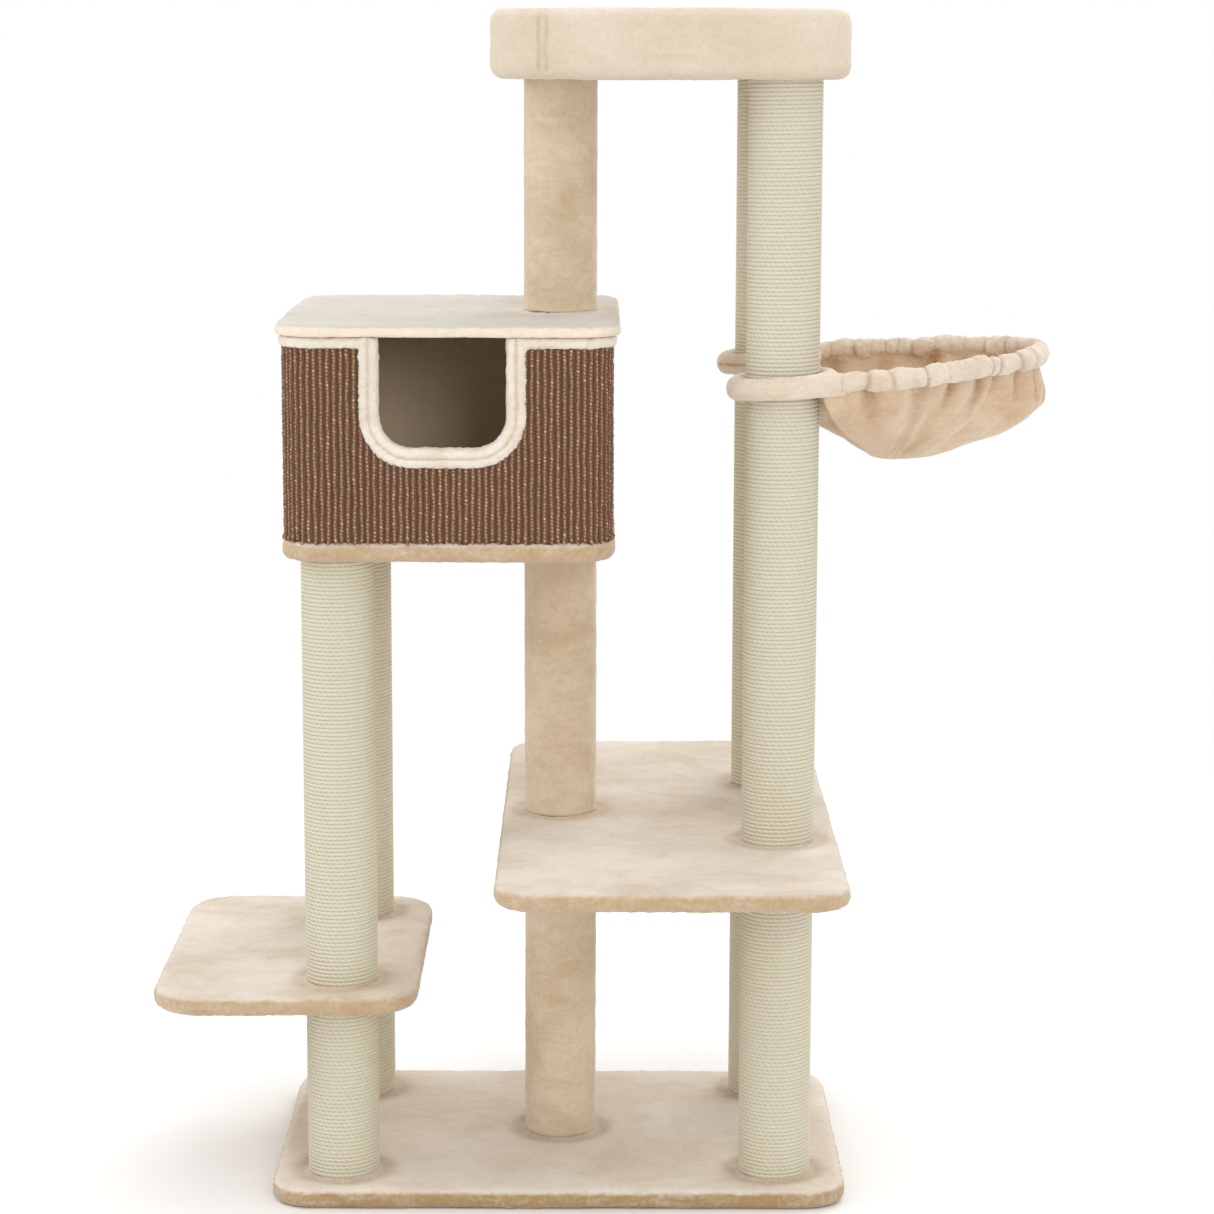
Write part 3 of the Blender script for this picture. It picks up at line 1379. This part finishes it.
def sack_edge():
    """The edge of the sack, seen from above: the free rim, a bow round each collar and the cross wire."""
    sewn = RING_RADIUS + 0.6 * COLLAR_WIDE
    turns = np.linspace(0.6 * RIM_TURN, 1 - 0.6 * RIM_TURN, FREE_POINTS) * math.pi
    edge = [(HAMMOCK_REACH * math.sin(t), -HAMMOCK_HALF * math.cos(t)) for t in turns]
    for side, order in ((1, range(-48, 85, 6)), (-1, range(84, -49, -6))):
        for angle in order:
            a = math.radians(angle)
            edge.append((sewn * math.cos(a), side * (rear_post.y - sewn * math.sin(a))))
    return edge


def sack_bowl():
    route = route_of([(x, y, 0) for x, y in sack_edge() + sack_edge()[:1]], (0, 0, 1), step=1 * MM)
    total = route["distance"][-1]
    sheet = flat_sheet("hammock_sack_cloth", 0, 1, 0, 1, SACK_COLUMNS, SACK_ROWS)
    points = points_of(sheet)
    share, fall = points[:, 0].copy(), 1 - points[:, 2]
    at = share * total
    x = np.interp(at, route["distance"], route["middle"][:, 0])
    y = np.interp(at, route["distance"], route["middle"][:, 1])
    away_x, away = x - SACK_LOWEST, np.hypot(x - SACK_LOWEST, y)
    free = np.clip(away_x / away, 0, 1)
    fullness = 2.15 + 0.7 * away_x / away + 1.0 * free
    angle = fall * math.pi / 2
    spread = np.cos(angle).clip(0, 1) ** (2 / fullness)
    drop = np.sin(angle) ** (2 / fullness) * SACK_DEPTH
    push = 1 + SACK_BULGE * (0.3 + 2.4 * free ** 2) * np.clip(fall / 0.12, 0, 1) / away
    points[:, 0] = HAMMOCK_X + SACK_LOWEST + away_x * spread * push
    points[:, 1] = y * spread * push
    points[:, 2] = HAMMOCK_Z + HAMMOCK_RISE * (points[:, 0] - HAMMOCK_X) - drop
    put_points(sheet, points)
    for name, values in (("way", at), ("fall", fall)):
        sheet.data.attributes.new(name, "FLOAT", "POINT").data.foreach_set("value", values)
    merge_close(sheet, 0.3 * MM)
    return sheet


# %% Hanging the sack
def hang(sheet):
    """Lets the sack hang from its pinned edge under its own weight."""
    points = points_of(sheet)
    edge_z = HAMMOCK_Z + HAMMOCK_RISE * (points[:, 0] - HAMMOCK_X)
    pinned = sheet.vertex_groups.new(name="edge")
    pinned.add([int(i) for i in np.flatnonzero(edge_z - points[:, 2] < 9 * MM)], 1.0, "REPLACE")
    simulate_cloth(
        sheet, HANG_FRAMES, vertex_group_mass="edge", quality=8, mass=0.1, tension_stiffness=60,
        compression_stiffness=60, shear_stiffness=30, bending_stiffness=2,
    )


def fold(sheet, seed):
    """Draws the spare cloth under the rim into long folds, which fade out towards the bottom."""
    count = len(sheet.data.vertices)
    way, fall, normals = np.empty(count), np.empty(count), np.empty(count * 3)
    sheet.data.attributes["way"].data.foreach_get("value", way)
    sheet.data.attributes["fall"].data.foreach_get("value", fall)
    sheet.data.vertices.foreach_get("normal", normals)
    normals = normals.reshape(-1, 3)
    points = points_of(sheet)
    middle = np.array([HAMMOCK_X + SACK_LOWEST, 0, HAMMOCK_Z])
    inward = ((points - middle) * normals).sum(axis=1) < 0
    normals[inward] *= -1
    places = creases(seed, way.max() + 50 * MM, 30 * MM, 90 * MM)
    drift = np.interp(way, places, 40 * MM * (seed.random(len(places)) - 0.5)) * fall
    at = np.clip(way + drift, 0, places[-1] - 1e-6)
    which, share = between(places, at)
    strong = blended(0.35 + 0.8 * seed.random(len(places)), which, share)
    ends = blended(0.3 + 0.45 * seed.random(len(places)), which, share)
    shaped = np.clip(fall / 0.055, 0, 1) * np.clip(1 - fall / ends, 0, 1) ** 1.2
    billow = np.sin(math.pi * share).clip(0, 1) ** 1.5 - 0.64
    free_edge = route_of([(x, y, 0) for x, y in sack_edge()[:FREE_POINTS]], (0, 0, 1))["distance"][-1]
    from_end = np.minimum(way, free_edge - way) - 0.4 * RIM_STARTS_AT
    shaped *= np.clip(from_end / FOLDS_END, 0, 1)
    points += (FOLD_DEPTH * billow * strong * shaped)[:, None] * normals
    away = points - middle
    outward = np.clip(away[:, 0] / np.hypot(away[:, 0], away[:, 1]).clip(1e-6), 0, 1) ** 2
    points[:, 0] += END_BULGE * outward * np.sin(math.pi * np.clip(fall / 0.75, 0, 1)) ** 0.7
    put_points(sheet, points)
    part_hairs(sheet, np.clip(-billow * strong * shaped * 1.8, 0, 1))


def hammock_sack():
    sack = sack_bowl()
    hang(sack)
    fold(sack, np.random.default_rng(5))
    apply_modifier(sack, "SMOOTH", iterations=6, factor=0.5)
    face_outwards(sack)
    area = sum(face.area for face in sack.data.polygons)
    thickened(sack, SACK_CLOTH)
    push_clouds(sack, (12, 1.0))
    dressed(sack, "hammock", "warm_plush", "hammock_sack")
    print("sack cloth, square metres:", round(area, 3))
    return sack, area


def cross_casing():
    """A plain casing round the straight wire between the two collars."""
    reach = rear_post.y - RING_RADIUS - COLLAR_WIDE
    route = route_of([hung(0, y) for y in np.linspace(-reach, reach, 30)], SLOPED_UP)
    tube = straight_tube("hammock_cross_casing", route["distance"][-1], CASING_RADIUS, sides=20)
    gather(tube, np.random.default_rng(3), 14 * MM, 30 * MM, 0.25)
    lay_along(tube, route)
    push_clouds(tube, (9, 1.2))
    dressed(tube, "hammock", "rim_plush", "hammock_sack")
    return tube


sack, sack_area = hammock_sack()
casing = cross_casing()
